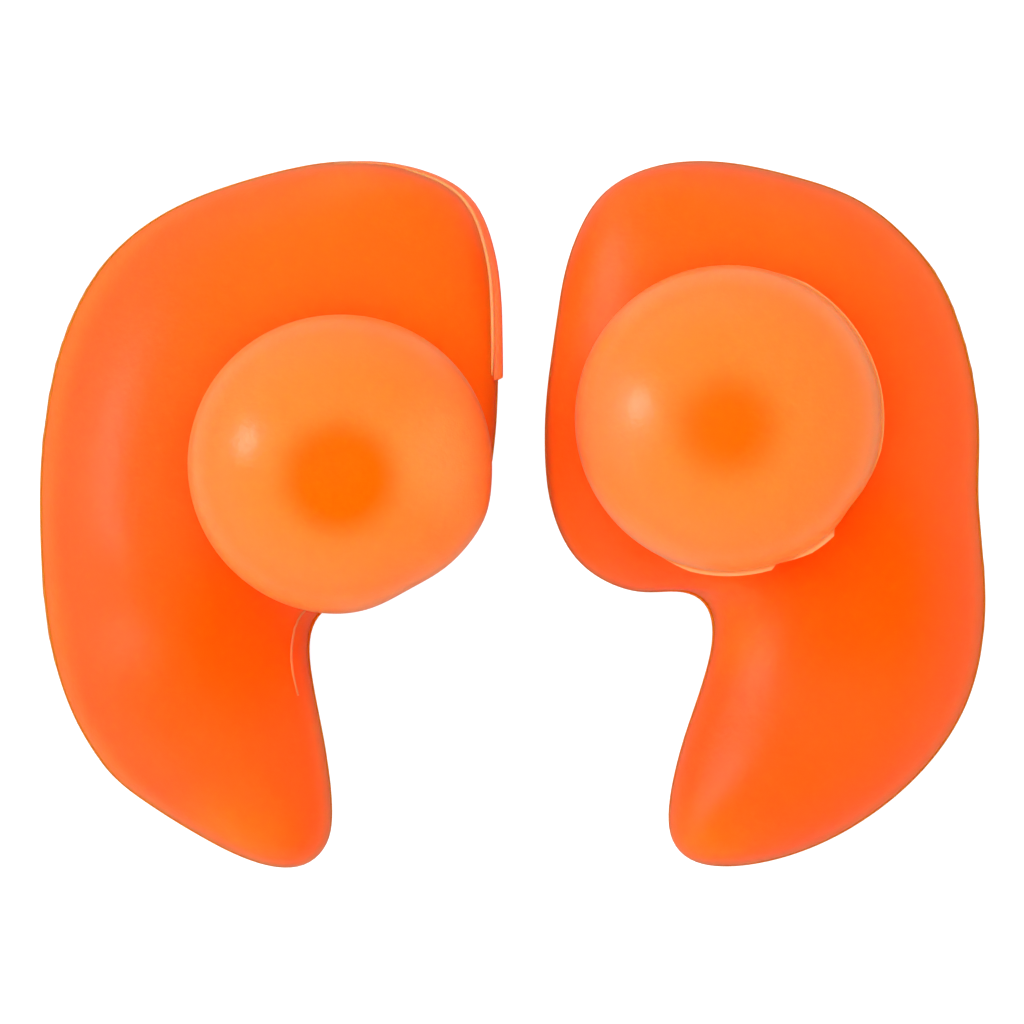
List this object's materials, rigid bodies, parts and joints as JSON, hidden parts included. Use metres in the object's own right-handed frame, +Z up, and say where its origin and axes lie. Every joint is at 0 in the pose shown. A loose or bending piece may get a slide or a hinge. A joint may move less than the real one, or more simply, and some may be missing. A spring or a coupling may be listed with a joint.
{
  "type": "silicone ear plugs",
  "caption": "Left and right moulded silicone ear plugs: a comma-shaped body that fills the bowl of the ear, with a thin flexible dome on a short stem that seals the canal.",
  "frame": {"origin": "middle of the pair's footprint, on the surface that both plugs lie on", "axes": "+X from the left-ear plug to the right-ear plug, +Y from the tails to the round lobes, +Z up along both stems, from the flat backs to the domes"},
  "size_m": [0.0403, 0.03, 0.015],
  "materials": {
    "body_silicone": "satin translucent orange silicone, thick section",
    "stem_silicone": "satin translucent orange silicone, solid post",
    "dome_silicone": "satin translucent orange silicone, thin skirt that looks paler than the body"
  },
  "bodies": {
    "left_plug": {"left_concha_body": "body_silicone"},
    "left_stem": {"left_tip_stem": "stem_silicone"},
    "left_dome": {"left_tip_dome": "dome_silicone"},
    "right_plug": {"right_concha_body": "body_silicone"},
    "right_stem": {"right_tip_stem": "stem_silicone"},
    "right_dome": {"right_tip_dome": "dome_silicone"}
  },
  "joints": [
    {"name": "left_stem_bend", "type": "hinge", "parent": "left_plug", "child": "left_stem", "pos_m": [-0.0072, 0.00215, 0.0079], "axis": [1, 0, 0], "range_deg": [-12, 12], "stiffness_Nm_per_rad": 0.004},
    {"name": "left_dome_tilt", "type": "hinge", "parent": "left_stem", "child": "left_dome", "pos_m": [-0.0072, 0.00215, 0.01245], "axis": [0, 1, 0], "range_deg": [-12, 12], "stiffness_Nm_per_rad": 0.002},
    {"name": "right_plug_lift", "type": "slide", "parent": "left_plug", "child": "right_plug", "axis": [0, 0, 1], "range_m": [0, 0.03]},
    {"name": "right_stem_bend", "type": "hinge", "parent": "right_plug", "child": "right_stem", "pos_m": [0.0089, 0.004, 0.0079], "axis": [1, 0, 0], "range_deg": [-12, 12], "stiffness_Nm_per_rad": 0.004},
    {"name": "right_dome_tilt", "type": "hinge", "parent": "right_stem", "child": "right_dome", "pos_m": [0.0089, 0.004, 0.01245], "axis": [0, 1, 0], "range_deg": [-12, 12], "stiffness_Nm_per_rad": 0.002}
  ]
}
